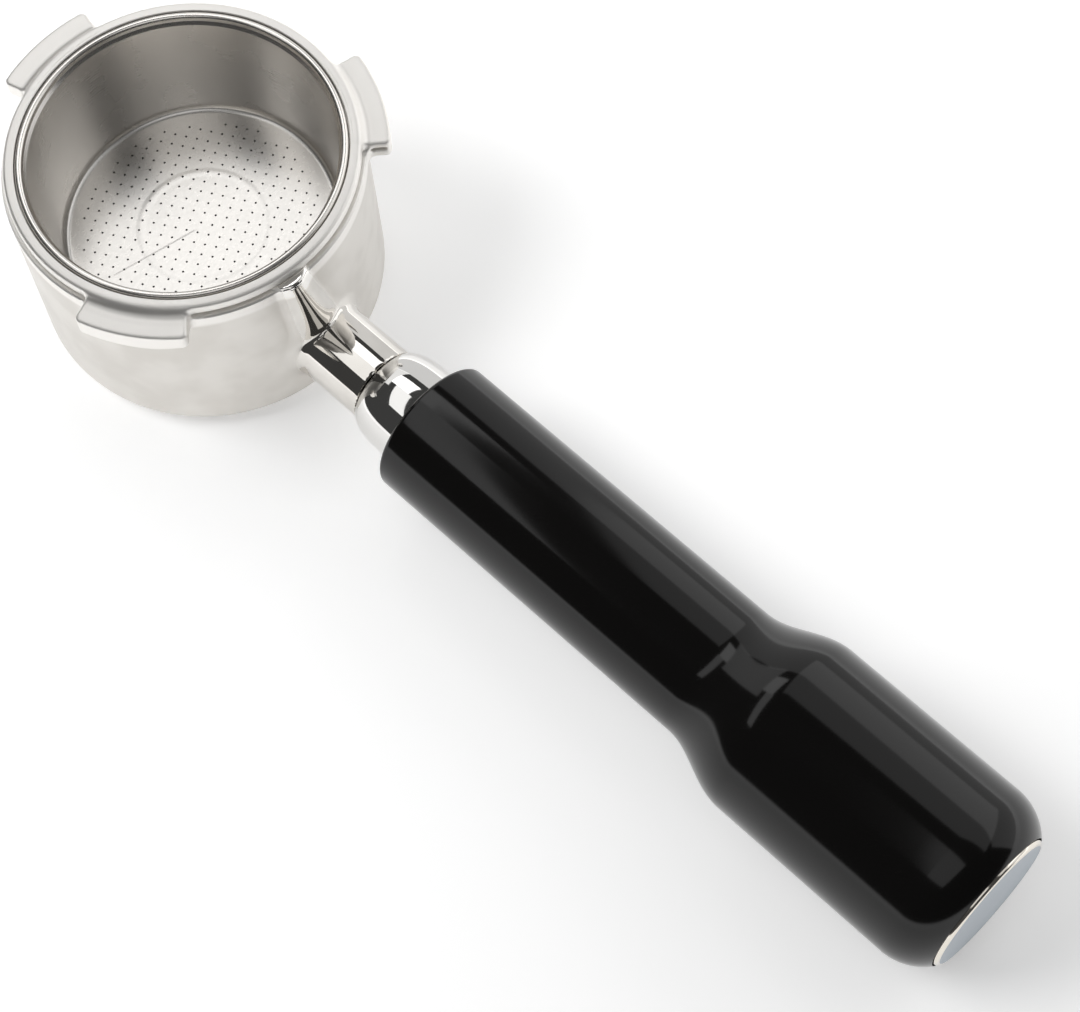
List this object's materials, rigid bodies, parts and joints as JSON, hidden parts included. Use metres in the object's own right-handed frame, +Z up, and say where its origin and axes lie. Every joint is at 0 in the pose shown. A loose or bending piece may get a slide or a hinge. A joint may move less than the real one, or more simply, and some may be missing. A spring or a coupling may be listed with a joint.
{
  "type": "filter holder",
  "caption": "Handled filter holder for an espresso machine: a lugged cup with a lift-out perforated basket, a flow insert, a flush twin outlet and a bolted-on grip.",
  "frame": {"origin": "the centre of the base's underside, on the cup's axis, in the plane that the cup stands on", "axes": "+Z up along the cup's axis, out of the basket; +X out along the handle; +Y to the handle's left"},
  "size_m": [0.2207, 0.0695, 0.0427],
  "materials": {
    "holder_body": "satin chrome on brass",
    "filter_basket": "drawn stainless steel, lightly brushed",
    "spring_steel": "bright spring steel",
    "flow_insert": "moulded, matt",
    "outlet_nozzle": "satin chrome on brass",
    "seal": "matt black",
    "fastener": "zinc-plated steel",
    "bush": "turned",
    "collar": "polished",
    "grip": "gloss black",
    "end_cap": "satin, with a bright bevel"
  },
  "bodies": {
    "holder": {"holder_body": "holder_body", "basket_spring": "spring_steel", "outlet_nozzle": "outlet_nozzle", "outlet_gasket": "seal", "outlet_screw": "fastener", "screw_washer": "fastener", "collar_ring": "seal", "collar": "collar", "grip_seal": "seal", "grip": "grip", "front_bush": "bush", "handle_stud": "fastener", "rear_bush": "bush", "stud_washer": "fastener", "lock_washer": "spring_steel", "stud_nut": "fastener", "cap_ring": "seal", "end_cap": "end_cap"},
    "insert": {"flow_insert": "flow_insert"},
    "basket": {"filter_basket": "filter_basket"}
  },
  "joints": [
    {"name": "insert_lift", "type": "slide", "parent": "holder", "child": "insert", "axis": [0, 0, 1], "range_m": [0, 0.04]},
    {"name": "basket_lift", "type": "slide", "parent": "insert", "child": "basket", "axis": [0, 0, 1], "range_m": [0, 0.045]}
  ]
}
